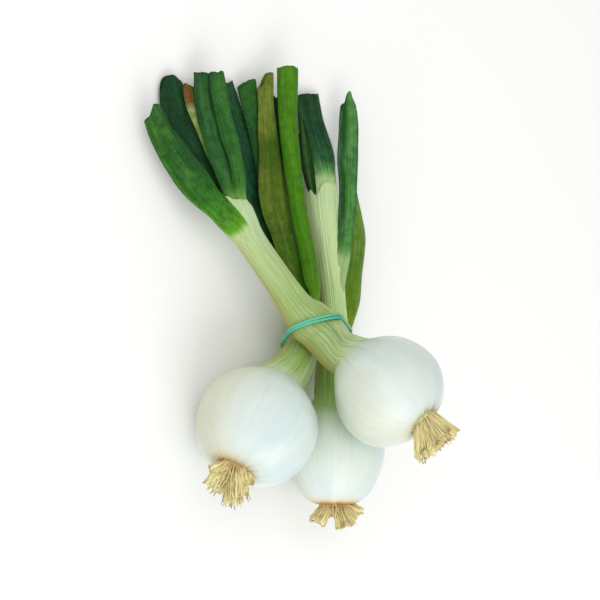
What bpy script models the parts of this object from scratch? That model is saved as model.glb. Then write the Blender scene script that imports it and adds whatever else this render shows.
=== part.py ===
"""Bunch of three spring onions tied at the necks: bulbs, necks, root tufts, cut leaves and a rubber band.

Lengths in the tables are millimetres in a table frame: X across, Y from the bulbs to the leaf ends, Z up
from the surface the bunch lies on. The finished bunch is moved so that its bounding box stands centred on
the origin.
"""

import math
import random

import bmesh
import bpy
from mathutils import Matrix, Vector

MM = 0.001
GAP = 0.35
SEAM_GAP = 0.5
FLAT = Vector((0.0, 0.0, 1.0))
LOW = Vector((-0.1, 0.0, 0.995))
FAN = Vector((-0.25, 0.0, 0.968))
TILT = Vector((-0.5, 0.0, 0.866))

BULB_SIDES = 28
NECK_SIDES = 18
LEAF_SIDES = 12
THIN_LEAF_SIDES = 8
BULB_RINGS = 15
NECK_RING_STEP = 8.0
NECK_SAMPLES = 20
LEAF_RING_STEP = 15.0
CURVE_SAMPLES = 200

WALL = 0.9
HOLLOW_DEPTH = 32.0

BULB_PROFILE = (
    (-1.00, 0.27),
    (-0.965, 0.40),
    (-0.86, 0.59),
    (-0.68, 0.775),
    (-0.42, 0.93),
    (-0.12, 1.0),
    (0.18, 0.985),
    (0.46, 0.885),
    (0.68, 0.73),
    (0.86, 0.56),
    (1.00, 0.44),
)

PLANTS = {
    "top": {
        "base": (5.3, 21.2, 92.4),
        "shoulder": (-8.5, 54.0, 50.2),
        "radius": 29.6,
        "heel": -0.03,
        "neck": (
            (-11.8, 58.5, 42.5, 11.4, 11.2),
            (-16.1, 68.4, 33.7, 12.0, 9.8),
            (-23.4, 75.1, 30.6, 12.2, 8.8),
            (-29.6, 82.1, 28.8, 9.3, 7.8),
            (-39.5, 95.0, 26.5, 8.0, 7.4),
            (-50.0, 109.0, 24.0, 7.8, 7.0),
            (-57.0, 119.0, 21.5, 8.4, 6.8),
            (-62.0, 127.0, 20.0, 9.6, 6.8),
        ),
    },
    "left": {
        "base": (-78.0, -2.0, 37.5),
        "shoulder": (-40.5, 40.0, 24.9),
        "radius": 32.4,
        "heel": 0.0,
        "neck": (
            (-27.6, 46.4, 22.2, 11.6, 11.0),
            (-18.0, 54.0, 17.7, 10.3, 9.8),
            (-9.8, 62.6, 13.5, 9.2, 8.8),
            (-7.0, 72.5, 11.0, 8.6, 8.2),
            (-6.5, 83.5, 10.2, 7.4, 7.6),
        ),
    },
    "centre": {
        "base": (-2.4, -27.2, 29.5),
        "shoulder": (3.6, 30.5, 23.5),
        "radius": 27.6,
        "heel": 0.045,
        "neck": (
            (6.0, 36.5, 18.8, 10.6, 10.2),
            (9.2, 45.0, 14.4, 9.5, 9.2),
            (12.5, 57.5, 11.6, 8.6, 8.6),
            (14.0, 70.0, 10.4, 7.8, 7.8),
            (13.5, 84.0, 9.6, 7.2, 7.2),
            (12.0, 97.0, 9.6, 7.2, 6.8),
            (8.5, 119.0, 9.4, 7.4, 6.4),
            (6.2, 134.0, 9.2, 8.6, 6.0),
            (5.0, 148.6, 9.2, 9.2, 5.6),
        ),
    },
}

# Each row: X, Y, Z, half width, half thickness. "cut" is the length added to the tip, from its left edge to
# its right edge.
LEAVES = {
    "leaf_top_outer": {
        "rows": (
            (-71.0, 125.5, 22.6, 4.5, 2.6),
            (-75.0, 130.5, 21.0, 6.6, 2.6),
            (-81.0, 136.5, 19.5, 7.6, 2.5),
            (-85.5, 143.0, 18.0, 8.4, 2.4),
            (-91.0, 150.0, 16.5, 9.0, 2.4),
            (-96.0, 156.5, 15.0, 8.4, 2.3),
            (-102.0, 164.5, 14.0, 7.8, 2.2),
            (-107.5, 172.0, 13.0, 6.6, 2.1),
            (-112.5, 182.5, 12.5, 6.0, 2.0),
        ),
        "cut": (-1.0, 1.0, 3.0, 3.5, 1.5),
        "curl": 0.25,
        "facing": TILT,
        "slot": "leaf_blue_green",
    },
    "leaf_top_low": {
        "rows": (
            (-63.5, 127.5, 16.4, 3.7, 2.0),
            (-70.0, 146.0, 10.6, 7.0, 2.1),
            (-79.5, 162.0, 6.6, 8.4, 2.1),
            (-88.5, 177.0, 3.6, 9.4, 2.0),
            (-91.5, 190.0, 2.5, 9.3, 2.0),
            (-93.5, 199.0, 2.3, 8.1, 2.0),
        ),
        "cut": (0.0, 3.0, 4.5, 2.5, 0.0),
        "curl": 0.0,
        "facing": FLAT,
        "slot": "leaf_dark_green",
    },
    "leaf_top_dry": {
        "rows": (
            (-58.0, 129.5, 18.2, 1.3, 1.1),
            (-65.5, 144.5, 15.6, 2.0, 1.0),
            (-74.0, 161.5, 11.8, 2.0, 1.0),
            (-79.5, 176.5, 8.8, 2.2, 1.0),
            (-83.5, 189.0, 6.8, 3.3, 1.0),
            (-84.5, 199.0, 6.0, 3.5, 1.0),
        ),
        "cut": (0.0, 1.5, 0.5, -1.0, 0.0),
        "curl": 0.0,
        "facing": FAN,
        "slot": "leaf_dry",
    },
    "leaf_top_middle": {
        "rows": (
            (-64.5, 128.5, 23.0, 1.7, 2.0),
            (-66.0, 143.0, 19.4, 3.0, 1.8),
            (-69.5, 151.0, 18.0, 4.3, 1.9),
            (-72.5, 161.5, 16.0, 5.1, 2.0),
            (-75.0, 172.0, 14.0, 5.2, 2.0),
            (-77.0, 182.5, 12.6, 5.7, 2.0),
            (-79.0, 193.0, 11.4, 5.0, 2.0),
            (-79.0, 205.5, 10.2, 4.5, 2.0),
        ),
        "cut": (0.5, 0.0, 0.6, 0.2, 0.0),
        "curl": 0.1,
        "facing": FAN,
        "slot": "leaf_dark_green",
    },
    "leaf_top_inner": {
        "rows": (
            (-59.5, 131.5, 23.8, 2.4, 2.0),
            (-62.5, 142.0, 24.8, 3.5, 1.9),
            (-64.0, 151.0, 23.8, 4.3, 1.9),
            (-65.5, 161.5, 21.6, 4.2, 2.0),
            (-67.5, 172.0, 19.2, 5.0, 2.0),
            (-70.0, 183.0, 17.6, 5.0, 2.0),
            (-72.0, 194.0, 16.6, 4.9, 2.0),
            (-73.5, 206.0, 15.8, 4.3, 2.0),
        ),
        "cut": (0.0, 0.5, 0.0, 0.4, 0.0),
        "curl": 0.1,
        "facing": FAN,
        "slot": "leaf_green",
    },
    "leaf_left_bright": {
        "rows": (
            (-5.0, 87.5, 16.2, 3.1, 2.0),
            (-9.5, 97.5, 18.8, 4.8, 2.1),
            (-12.5, 109.5, 19.0, 4.8, 2.3),
            (-15.5, 120.0, 19.2, 4.8, 2.3),
            (-19.5, 136.5, 19.0, 4.8, 2.2),
            (-22.5, 159.5, 18.0, 5.3, 2.1),
            (-24.5, 184.0, 16.8, 5.8, 2.0),
            (-24.5, 211.5, 15.8, 6.5, 2.0),
        ),
        "cut": (0.0, 1.2, 1.6, 1.2, 0.4),
        "curl": 0.2,
        "facing": FAN,
        "slot": "leaf_bright_green",
    },
    "leaf_left_twisted": {
        "rows": (
            (-8.5, 86.5, 12.2, 3.4, 1.9),
            (-14.5, 101.0, 12.4, 5.9, 2.0),
            (-21.5, 113.0, 13.0, 6.9, 2.1),
            (-25.0, 123.5, 12.6, 7.7, 2.0),
            (-29.0, 136.0, 12.2, 9.3, 2.0),
            (-31.5, 148.0, 11.8, 9.0, 2.0),
            (-32.5, 163.0, 11.2, 7.3, 2.0),
            (-34.0, 178.0, 10.8, 6.3, 2.0),
            (-35.0, 192.0, 10.4, 5.1, 2.0),
            (-35.0, 207.0, 10.0, 5.3, 2.0),
        ),
        "cut": (-2.0, 0.5, 1.5, 2.5, 1.0),
        "curl": 0.15,
        "facing": LOW,
        "slot": "leaf_olive",
    },
    "leaf_left_dark": {
        "rows": (
            (-5.5, 86.0, 8.6, 2.8, 1.8),
            (-14.5, 106.0, 7.6, 5.8, 2.0),
            (-22.5, 124.5, 6.8, 5.7, 2.0),
            (-28.5, 141.0, 6.6, 5.7, 2.0),
            (-33.0, 158.5, 6.4, 6.0, 2.0),
            (-38.0, 176.0, 6.2, 5.7, 2.0),
            (-43.5, 194.5, 6.0, 5.9, 2.0),
            (-45.5, 203.5, 6.0, 6.3, 2.0),
        ),
        "cut": (0.0, 0.8, 0.0, 0.4, 0.6),
        "curl": 0.0,
        "facing": LOW,
        "slot": "leaf_dark_green",
    },
    "leaf_left_low": {
        "rows": (
            (4.0, 87.0, 4.8, 3.1, 1.7),
            (-8.5, 97.5, 2.6, 5.2, 1.9),
            (-21.0, 117.0, 2.1, 5.2, 1.9),
            (-33.0, 137.5, 2.1, 7.4, 1.9),
            (-40.5, 157.0, 2.1, 7.8, 1.9),
            (-48.0, 175.0, 2.0, 6.9, 1.9),
            (-54.5, 191.0, 1.9, 6.9, 1.8),
            (-58.0, 202.5, 1.9, 6.4, 1.8),
        ),
        "cut": (0.0, 0.6, 0.0, -0.6, 0.0),
        "curl": 0.0,
        "facing": FLAT,
        "slot": "leaf_dark_green",
    },
    "leaf_left_thin": {
        "rows": (
            (0.5, 87.5, 10.0, 1.0, 0.9),
            (-9.0, 118.0, 8.0, 1.8, 0.9),
            (-15.5, 141.0, 7.2, 2.0, 0.9),
            (-20.5, 162.5, 7.0, 2.2, 0.9),
            (-23.5, 179.0, 7.0, 2.2, 0.9),
            (-25.5, 196.5, 7.0, 2.2, 0.9),
        ),
        "cut": (0.0, 1.0, 0.0, 0.5, 0.0),
        "curl": 0.0,
        "facing": TILT,
        "slot": "leaf_dark_green",
    },
    "leaf_centre_dark": {
        "rows": (
            (10.5, 150.5, 6.6, 7.7, 2.0),
            (9.5, 165.5, 4.6, 9.5, 2.0),
            (6.5, 176.0, 3.2, 9.4, 2.0),
            (3.0, 187.0, 2.5, 8.9, 2.0),
            (1.0, 200.0, 2.2, 8.5, 2.0),
        ),
        "cut": (0.0, 0.6, 0.6, 0.0, 0.0),
        "curl": 0.0,
        "facing": FLAT,
        "slot": "leaf_dark_green",
    },
    "leaf_centre_thin": {
        "rows": (
            (-5.0, 149.0, 11.4, 2.0, 1.3),
            (-6.0, 161.0, 10.6, 3.2, 1.2),
            (-7.5, 172.0, 10.0, 3.2, 1.1),
            (-9.5, 185.0, 9.6, 2.1, 1.0),
        ),
        "cut": (-6.0, -2.0, 0.0, 0.0, -3.0),
        "curl": 0.0,
        "facing": TILT,
        "slot": "leaf_dark_green",
    },
    "leaf_centre_open": {
        "rows": (
            (7.5, 98.5, 19.0, 1.9, 1.8),
            (11.5, 108.5, 18.6, 3.6, 1.8),
            (14.5, 118.5, 18.0, 4.0, 1.8),
            (17.5, 133.0, 16.6, 5.0, 1.8),
            (20.0, 150.0, 14.6, 5.4, 1.8),
            (21.0, 165.0, 13.0, 6.0, 1.8),
            (23.0, 181.0, 11.6, 5.6, 1.8),
            (23.5, 198.5, 10.8, 4.6, 1.8),
        ),
        "cut": (-3.0, -1.0, 3.5, 4.5, 0.0),
        "curl": -0.35,
        "facing": TILT,
        "slot": "leaf_blue_green",
    },
    "leaf_centre_outer": {
        "rows": (
            (30.0, 73.5, 4.8, 3.5, 2.0),
            (32.5, 85.0, 4.6, 6.0, 2.0),
            (34.5, 102.0, 4.0, 6.8, 2.0),
            (37.5, 119.0, 3.2, 6.9, 2.0),
            (36.5, 131.5, 2.6, 6.0, 2.0),
            (34.5, 143.0, 2.2, 4.6, 1.9),
            (33.5, 153.5, 1.9, 3.4, 1.8),
        ),
        "cut": (0.0, 1.0, 0.0, -1.0, -2.0),
        "curl": 0.1,
        "facing": FLAT,
        "slot": "leaf_olive",
    },
}

TIE_POINT = Vector((-6.0, 67.4, 21.0))
TIE_NORMAL = Vector((-0.08, 0.91, -0.4)).normalized()
TIE_WIDTH = 2.8
TIE_THICKNESS = 1.3
TIE_SOFT_EDGE = 0.35
TIE_CLEARANCE = 0.7
TIE_CLEARANCE_SIDES = 16
TIE_STEPS = 48

ROOT_SIDES = 4
ROOT_STEPS = 3
ROOT_CORE_SIDES = 10
ROOT_RADIUS = 1.15
ROOT_TIP_RADIUS = 0.7
ROOT_START = 2.5
ROOT_SINK = 1.4
ROOT_KINK = 0.12
ROOT_SPREAD_SHARE = 0.62
ROOT_SPIRAL_TURN = 2.4
ROOT_SHORTEST = 0.75
ROOT_LONGEST = 1.05
ROOT_CORE_SHARE = 0.78
ROOT_CORE_RINGS = ((GAP, 0.96), (1.6, 1.0), (3.4, 0.8))

# Root tufts: number of roots, their length, the width they start over, the direction they bend to, how far
# they bend to it, and how far they spread at the plate.
TUFTS = {
    "top": {
        "count": 16,
        "length": 21.0,
        "spread": 8.0,
        "droop": (0.15, -0.98, 0.1),
        "bend": 0.95,
        "flare": 0.55,
        "seed": 3,
    },
    "left": {
        "count": 17,
        "length": 17.0,
        "spread": 10.0,
        "droop": (-0.25, -0.95, -0.1),
        "bend": 0.7,
        "flare": 0.75,
        "seed": 5,
    },
    "centre": {
        "count": 16,
        "length": 14.0,
        "spread": 10.5,
        "droop": (0.0, -1.0, -0.15),
        "bend": 0.1,
        "flare": 1.0,
        "seed": 9,
    },
}

COLOURS = {
    "bulb_white": ("E4E9E2", 0.38),
    "neck_green": ("A9BF74", 0.45),
    "roots_straw": ("CDBE78", 0.85),
    "leaf_dark_green": ("2F5C33", 0.5),
    "leaf_green": ("3F6E38", 0.5),
    "leaf_blue_green": ("3F6A52", 0.5),
    "leaf_bright_green": ("55862A", 0.45),
    "leaf_olive": ("7E8C36", 0.5),
    "leaf_dry": ("A58A55", 0.8),
    "band_teal": ("3FB58E", 0.55),
}


def clear_scene():
    for obj in list(bpy.data.objects):
        bpy.data.objects.remove(obj, do_unlink=True)


def srgb(code):
    """Linear colour of a six-digit sRGB hex code."""
    parts = [int(code[i : i + 2], 16) / 255 for i in (0, 2, 4)]
    return [c / 12.92 if c <= 0.04045 else ((c + 0.055) / 1.055) ** 2.4 for c in parts] + [1.0]


def material(slot):
    found = bpy.data.materials.get(slot)
    if found:
        return found
    code, roughness = COLOURS[slot]
    made = bpy.data.materials.new(slot)
    made.use_nodes = True
    shader = made.node_tree.nodes["Principled BSDF"]
    shader.inputs["Base Color"].default_value = srgb(code)
    shader.inputs["Roughness"].default_value = roughness
    shader.inputs["Metallic"].default_value = 0.0
    return made


def add_object(name, mesh_data, slot):
    """Adds an object from points in millimetres and faces, with its faces turned outward."""
    points, faces = mesh_data
    mesh = bpy.data.meshes.new(name)
    mesh.from_pydata([tuple(c * MM for c in p) for p in points], [], faces)
    bm = bmesh.new()
    bm.from_mesh(mesh)
    bmesh.ops.triangulate(bm, faces=[f for f in bm.faces if len(f.verts) > 4])
    bmesh.ops.recalc_face_normals(bm, faces=bm.faces)
    bm.to_mesh(mesh)
    bm.free()
    obj = bpy.data.objects.new(name, mesh)
    bpy.context.scene.collection.objects.link(obj)
    if slot:
        mesh.materials.append(material(slot))
    return obj


def curve_value(rows, at):
    """Catmull-Rom value of the rows at a row number that may lie between two rows."""
    i = min(int(at), len(rows) - 2)
    t = at - i
    p1, p2 = rows[i], rows[i + 1]
    p0 = rows[i - 1] if i else [2 * a - b for a, b in zip(p1, p2)]
    p3 = rows[i + 2] if i + 2 < len(rows) else [2 * b - a for a, b in zip(p1, p2)]
    return [
        0.5 * (2 * b + (c - a) * t + (2 * a - 5 * b + 4 * c - d) * t * t + (3 * b - a - 3 * c + d) * t**3)
        for a, b, c, d in zip(p0, p1, p2, p3)
    ]


def resample(rows, step):
    """Rows of a smooth curve through the given rows, about one step apart."""
    fine = [curve_value(rows, k * (len(rows) - 1) / CURVE_SAMPLES) for k in range(CURVE_SAMPLES + 1)]
    total, reach = 0.0, [0.0]
    for a, b in zip(fine, fine[1:]):
        total += (Vector(b[:3]) - Vector(a[:3])).length
        reach.append(total)
    count = max(2, round(total / step))
    picked = []
    for k in range(count + 1):
        wanted = total * k / count
        picked.append(fine[min(range(len(fine)), key=lambda i: abs(reach[i] - wanted))])
    return picked


def frames(rows, facing):
    """Centre, tangent, side and face direction of each row's section."""
    result = []
    for i, row in enumerate(rows):
        before, after = rows[max(i - 1, 0)], rows[min(i + 1, len(rows) - 1)]
        tangent = (Vector(after[:3]) - Vector(before[:3])).normalized()
        side = tangent.cross(facing).normalized()
        result.append((Vector(row[:3]), tangent, side, side.cross(tangent)))
    return result


def ring(frame, half_width, half_depth, sides, curl=0.0, cut=None):
    """Points of one flattened round section, bent by curl, with its end cut to lengths across the width."""
    centre, tangent, side, face = frame
    points = []
    for k in range(sides):
        angle = 2 * math.pi * k / sides
        u, v = math.cos(angle), math.sin(angle)
        along = curve_value([(c,) for c in cut], (u + 1) / 2 * (len(cut) - 1))[0] if cut else 0.0
        bend = -curl * half_width * u * u
        points.append(centre + side * half_width * u + face * (half_depth * v + bend) + tangent * along)
    return points


def skin(rings):
    """Closed skin over a run of rings, its quads split alike, with a fan at each end."""
    sides = len(rings[0])
    points = [p for r in rings for p in r]
    faces = []
    for i in range(len(rings) - 1):
        for k in range(sides):
            a, b = i * sides + k, i * sides + (k + 1) % sides
            faces += [(a, b, b + sides), (a, b + sides, a + sides)]
    for start in (0, (len(rings) - 1) * sides):
        centre = sum(points[start : start + sides], Vector()) / sides
        points.append(centre)
        for k in range(sides):
            faces.append((start + k, start + (k + 1) % sides, len(points) - 1))
    return points, faces


def plant_rows(plant):
    """Rows of the bulb from the root plate to its shoulder, and rows of the neck."""
    base, shoulder = Vector(plant["base"]), Vector(plant["shoulder"])
    rows = []
    for along, share in BULB_PROFILE:
        centre = base.lerp(shoulder, (along + 1) / 2)
        slim = 1 - plant["heel"] * math.sin(math.pi * max(0.0, -along))
        radius = plant["radius"] * share * slim
        rows.append((*centre, radius, radius))
    return rows, list(plant["neck"])


def body_rings(plant):
    """Frames and sizes of the bulb's and the neck's rings, from one smooth run with a gap between the two."""
    bulb, neck = plant_rows(plant)
    rows, shoulder = bulb + neck, len(bulb) - 1
    bulb_part = [curve_value(rows, k * shoulder / (BULB_RINGS - 1)) for k in range(BULB_RINGS)]
    neck_fine = [curve_value(rows, shoulder + k * len(neck) / NECK_SAMPLES) for k in range(NECK_SAMPLES + 1)]
    neck_part = resample(neck_fine, NECK_RING_STEP)
    run = frames(bulb_part + neck_part[1:], TILT)
    seam = run[BULB_RINGS - 1]
    neck_run = [(seam[0] + seam[1] * SEAM_GAP, *seam[1:])] + run[BULB_RINGS:]
    return list(zip(run, bulb_part)), list(zip(neck_run, neck_part))


def flatten_on_table(obj):
    """Cuts off whatever dips under the table and closes the flat it leaves."""
    bm = bmesh.new()
    bm.from_mesh(obj.data)
    geometry = bm.verts[:] + bm.edges[:] + bm.faces[:]
    low = min(v.co.z for v in bm.verts)
    if low < -1e-7:
        cut = bmesh.ops.bisect_plane(
            bm, geom=geometry, plane_co=(0, 0, 0), plane_no=(0, 0, 1), clear_inner=True
        )
        edges = [e for e in cut["geom_cut"] if isinstance(e, bmesh.types.BMEdge)]
        bmesh.ops.contextual_create(bm, geom=edges)
        bmesh.ops.triangulate(bm, faces=[f for f in bm.faces if len(f.verts) > 4])
        bmesh.ops.recalc_face_normals(bm, faces=bm.faces)
    bm.to_mesh(obj.data)
    bm.free()


def make_plant(name, plant):
    bulb_part, neck_part = body_rings(plant)
    rings = [ring(f, r[3], r[4], BULB_SIDES) for f, r in bulb_part]
    bulb = add_object(f"bulb_{name}", skin(rings), "bulb_white")
    rings = [ring(f, r[3], r[4], NECK_SIDES) for f, r in neck_part]
    neck = add_object(f"neck_{name}", skin(rings), "neck_green")
    return bulb, neck, rings, bulb_part[0][0]


def make_leaf(name, leaf):
    """A leaf tube from its base to its cut tip, hollow at the tip where it is thick enough."""
    rows = resample(leaf["rows"], LEAF_RING_STEP)
    run = frames(rows, leaf["facing"])
    hollow = min(r[4] for r in rows[-3:]) > WALL * 2
    sides = LEAF_SIDES if hollow else THIN_LEAF_SIDES
    last = len(rows) - 1
    cuts = [leaf["cut"] if i == last else None for i in range(len(rows))]
    rings = [ring(f, r[3], r[4], sides, leaf["curl"], c) for f, r, c in zip(run, rows, cuts)]
    if hollow:
        deep = max(1, last - round(HOLLOW_DEPTH / LEAF_RING_STEP))
        for i in range(last, deep - 1, -1):
            inner = (rows[i][3] - WALL, rows[i][4] - WALL)
            rings.append(ring(run[i], *inner, sides, leaf["curl"] * rows[i][3] / inner[0], cuts[i]))
    return add_object(name, skin(rings), leaf["slot"])


def crossing_points(rings, offset):
    """Where the lengthwise lines of a neck cross a plane an offset away from the plane of the tie."""
    found = []
    for a, b in zip(rings, rings[1:]):
        for p, q in zip(a, b):
            dp, dq = ((c - TIE_POINT).dot(TIE_NORMAL) - offset for c in (p, q))
            if dp * dq < 0:
                found.append(p.lerp(q, dp / (dp - dq)))
    return found


def convex_outline(flat):
    """Corners of the convex outline of flat points, anticlockwise."""
    flat = sorted(set(flat))
    halves = []
    for run in (flat, flat[::-1]):
        half = []
        for p in run:
            while len(half) > 1 and (
                (half[-1][0] - half[-2][0]) * (p[1] - half[-2][1])
                - (half[-1][1] - half[-2][1]) * (p[0] - half[-2][0])
            ) <= 0:
                half.pop()
            half.append(p)
        halves += half[:-1]
    return halves


def even_loop(corners, count):
    """Points evenly spaced round a closed outline."""
    lengths = [math.dist(a, b) for a, b in zip(corners, corners[1:] + corners[:1])]
    total, result = sum(lengths), []
    for k in range(count):
        left = total * k / count
        i = 0
        while left > lengths[i]:
            left -= lengths[i]
            i += 1
        a, b = corners[i], corners[(i + 1) % len(corners)]
        result.append(tuple(x + (y - x) * left / lengths[i] for x, y in zip(a, b)))
    return result


def tie_loop(necks):
    """Inner line of the band: the outline drawn tight round the three necks, pushed out by a clearance."""
    across = TIE_NORMAL.cross(Vector((0, 0, 1))).normalized()
    up = across.cross(TIE_NORMAL).normalized()
    flat = []
    for rings in necks:
        for offset in (-TIE_WIDTH / 2, 0.0, TIE_WIDTH / 2):
            for p in crossing_points(rings, offset):
                flat.append(((p - TIE_POINT).dot(across), (p - TIE_POINT).dot(up)))
    turns = [2 * math.pi * k / TIE_CLEARANCE_SIDES for k in range(TIE_CLEARANCE_SIDES)]
    reach = [
        (x + TIE_CLEARANCE * math.cos(turn), y + TIE_CLEARANCE * math.sin(turn))
        for x, y in flat
        for turn in turns
    ]
    loop = even_loop(convex_outline(reach), TIE_STEPS)
    return [TIE_POINT + across * x + up * y for x, y in loop]


def make_tie(necks):
    """A flat rubber band with softened edges, drawn tight round the necks."""
    line = tie_loop(necks)
    centre = sum(line, Vector()) / len(line)
    half, thick, soft = TIE_WIDTH / 2, TIE_THICKNESS, TIE_SOFT_EDGE
    section = (
        (-half, soft), (-half + soft, 0), (half - soft, 0), (half, soft),
        (half, thick - soft), (half - soft, thick), (-half + soft, thick), (-half, thick - soft),
    )
    points, faces, n = [], [], len(section)
    for i, p in enumerate(line):
        tangent = (line[(i + 1) % len(line)] - line[i - 1]).normalized()
        outward = tangent.cross(TIE_NORMAL).normalized()
        if outward.dot(p - centre) < 0:
            outward.negate()
        points += [p + TIE_NORMAL * w + outward * t for w, t in section]
    for i in range(len(line)):
        j = (i + 1) % len(line)
        for k in range(n):
            m = (k + 1) % n
            faces += [(i * n + k, i * n + m, j * n + m), (i * n + k, j * n + m, j * n + k)]
    return add_object("tie_band", (points, faces), "band_teal")


def root_rows(start, out, length, droop, bend, shake):
    """Rows of one root: it leaves along its own direction and bends toward the droop direction."""
    rows = []
    direction = out.copy()
    point = start - out * ROOT_SINK
    for k in range(ROOT_STEPS + 1):
        t = k / ROOT_STEPS
        radius = ROOT_RADIUS + (ROOT_TIP_RADIUS - ROOT_RADIUS) * t
        rows.append((*point, radius, radius))
        direction = (direction.lerp(droop, bend / ROOT_STEPS) + shake * ROOT_KINK).normalized()
        point = point + direction * (length + ROOT_SINK) / ROOT_STEPS
    return rows


def root_starts(frame, tuft, rng):
    """Start point, direction and length of each root of a tuft, spread over the root plate."""
    centre, tangent, side, face = frame
    for k in range(tuft["count"]):
        angle = ROOT_SPIRAL_TURN * k
        reach = math.sqrt((k + 0.5) / tuft["count"])
        offset = (side * math.cos(angle) + face * math.sin(angle)) * reach
        start = centre - tangent * (GAP + ROOT_START) + offset * (tuft["spread"] * ROOT_SPREAD_SHARE)
        out = (-tangent + offset * tuft["flare"]).normalized()
        yield start, out, tuft["length"] * rng.uniform(ROOT_SHORTEST, ROOT_LONGEST)


def make_tuft(name, frame, tuft):
    """A tuft of roots on a low core under the root plate, joined into one body."""
    rng = random.Random(tuft["seed"])
    droop = Vector(tuft["droop"]).normalized()
    centre, tangent = frame[0], frame[1]
    plate = tuft["spread"] * ROOT_CORE_SHARE
    core = [
        ring((centre - tangent * depth, *frame[1:]), plate * share, plate * share, ROOT_CORE_SIDES)
        for depth, share in ROOT_CORE_RINGS
    ]
    body = add_object(f"roots_{name}", skin(core), "roots_straw")
    strands = bpy.data.collections.new("strands")
    bpy.context.scene.collection.children.link(strands)
    for k, (start, out, length) in enumerate(root_starts(frame, tuft, rng)):
        shake = Vector((rng.uniform(-1, 1), rng.uniform(-1, 1), rng.uniform(-1, 1)))
        rows = root_rows(start, out, length, droop, tuft["bend"], shake)
        facing = out.orthogonal()
        rings = [ring(f, r[3], r[4], ROOT_SIDES) for f, r in zip(frames(rows, facing), rows)]
        strand = add_object(f"strand_{k}", skin(rings), None)
        bpy.context.scene.collection.objects.unlink(strand)
        strands.objects.link(strand)
    fuse(body, strands)
    return body


def fuse(body, collection):
    """Joins a collection of solids to the body, then removes them."""
    union = body.modifiers.new("union", "BOOLEAN")
    union.operation = "UNION"
    union.operand_type = "COLLECTION"
    union.collection = collection
    union.solver = "EXACT"
    union.use_self = True
    graph = bpy.context.evaluated_depsgraph_get()
    mesh = bpy.data.meshes.new_from_object(body.evaluated_get(graph))
    body.modifiers.clear()
    old, body.data = body.data, mesh
    bpy.data.meshes.remove(old)
    for obj in list(collection.objects):
        bpy.data.objects.remove(obj, do_unlink=True)
    bpy.data.collections.remove(collection)


def centre_on_origin(objects):
    """Moves every mesh so that the bounding box stands centred on the origin."""
    corners = [v.co for obj in objects for v in obj.data.vertices]
    low = [min(c[i] for c in corners) for i in range(3)]
    high = [max(c[i] for c in corners) for i in range(3)]
    move = Matrix.Translation((-(low[0] + high[0]) / 2, -(low[1] + high[1]) / 2, -low[2]))
    for obj in objects:
        obj.data.transform(move)


def main():
    clear_scene()
    made, necks = [], []
    for name, plant in PLANTS.items():
        bulb, neck, rings, base_frame = make_plant(name, plant)
        made += [bulb, neck, make_tuft(name, base_frame, TUFTS[name])]
        necks.append(rings)
    made += [make_leaf(name, leaf) for name, leaf in LEAVES.items()]
    made.append(make_tie(necks))
    for name in ("left", "centre"):
        flatten_on_table(bpy.data.objects[f"bulb_{name}"])
    centre_on_origin(made)


main()
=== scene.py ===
"""Looks of three spring onions tied at the necks: skins, leaves, root tufts, rubber band and the stage.

Tables are millimetres in a table frame: X across, Y from the bulbs to the leaf ends, Z up from the surface.
"""

import math
import random

import bmesh
import bpy
from bpy.props import FloatProperty, FloatVectorProperty, IntProperty, PointerProperty
from mathutils import Matrix, Vector, noise
from mathutils.bvhtree import BVHTree


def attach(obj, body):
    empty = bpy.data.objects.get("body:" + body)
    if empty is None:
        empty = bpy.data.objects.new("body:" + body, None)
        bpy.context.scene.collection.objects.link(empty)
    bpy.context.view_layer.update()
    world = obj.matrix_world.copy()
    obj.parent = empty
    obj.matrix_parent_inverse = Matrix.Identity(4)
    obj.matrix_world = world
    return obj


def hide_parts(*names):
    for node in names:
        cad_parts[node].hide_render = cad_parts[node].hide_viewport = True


bl_info = {
    "name": "Spring onion bunch",
    "version": (1, 0, 0),
    "blender": (4, 5, 0),
    "location": "3D View > Sidebar > Spring onions",
    "description": "Builds the visible skins, leaves, roots and rubber band of a bunch of spring onions",
    "category": "Object",
}

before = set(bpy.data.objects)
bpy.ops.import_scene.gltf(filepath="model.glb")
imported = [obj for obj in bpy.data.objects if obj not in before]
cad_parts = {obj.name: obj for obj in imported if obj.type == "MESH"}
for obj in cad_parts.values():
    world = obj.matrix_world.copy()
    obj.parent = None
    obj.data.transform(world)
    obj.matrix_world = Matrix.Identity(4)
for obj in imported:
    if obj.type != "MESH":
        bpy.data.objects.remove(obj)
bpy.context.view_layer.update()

# SHIFT is the place in the table frame, in millimetres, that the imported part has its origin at.
MM = 0.001
SHIFT = Vector((-35.97, 85.09, 0.0))

# Directions that the upper faces of plants and leaves look in.
FLAT = Vector((0.0, 0.0, 1.0))
LOW = Vector((-0.1, 0.0, 0.995))
FAN = Vector((-0.25, 0.0, 0.968))
TILT = Vector((-0.5, 0.0, 0.866))

# Faces round each kind of piece, and the length of its rings or the number of its steps.
PLANT_AROUND = 180
PLANT_STEP = 1.3
LEAF_AROUND = 56
LEAF_STEP = 1.5
ROOT_AROUND = 6
ROOT_STEPS = 7
MAT_AROUND = 64
PLATE_AROUND = 48
BAND_AROUND = 16
BAND_STEPS = 180
GROUND_CLEARANCE = 0.05
SPIRAL_TURN = 2.4

# Plants: where each plant's noise starts, the ribs round a neck, the lumps of skin and bulb, and the collar.
PLANT_SHIFTS = {"top": 0.7, "left": 2.9, "centre": 5.1}
RIB_COUNTS = (38, 25)
RIB_WAVE = 11.0
LUMP_LENGTH = 28.0
SKIN_LUMP = 0.5
BULB_LUMP = 0.8
COLLAR_RINGS = 10
COLLAR_WALL = 1.1
COLLAR_REACH = 12.0

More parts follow.
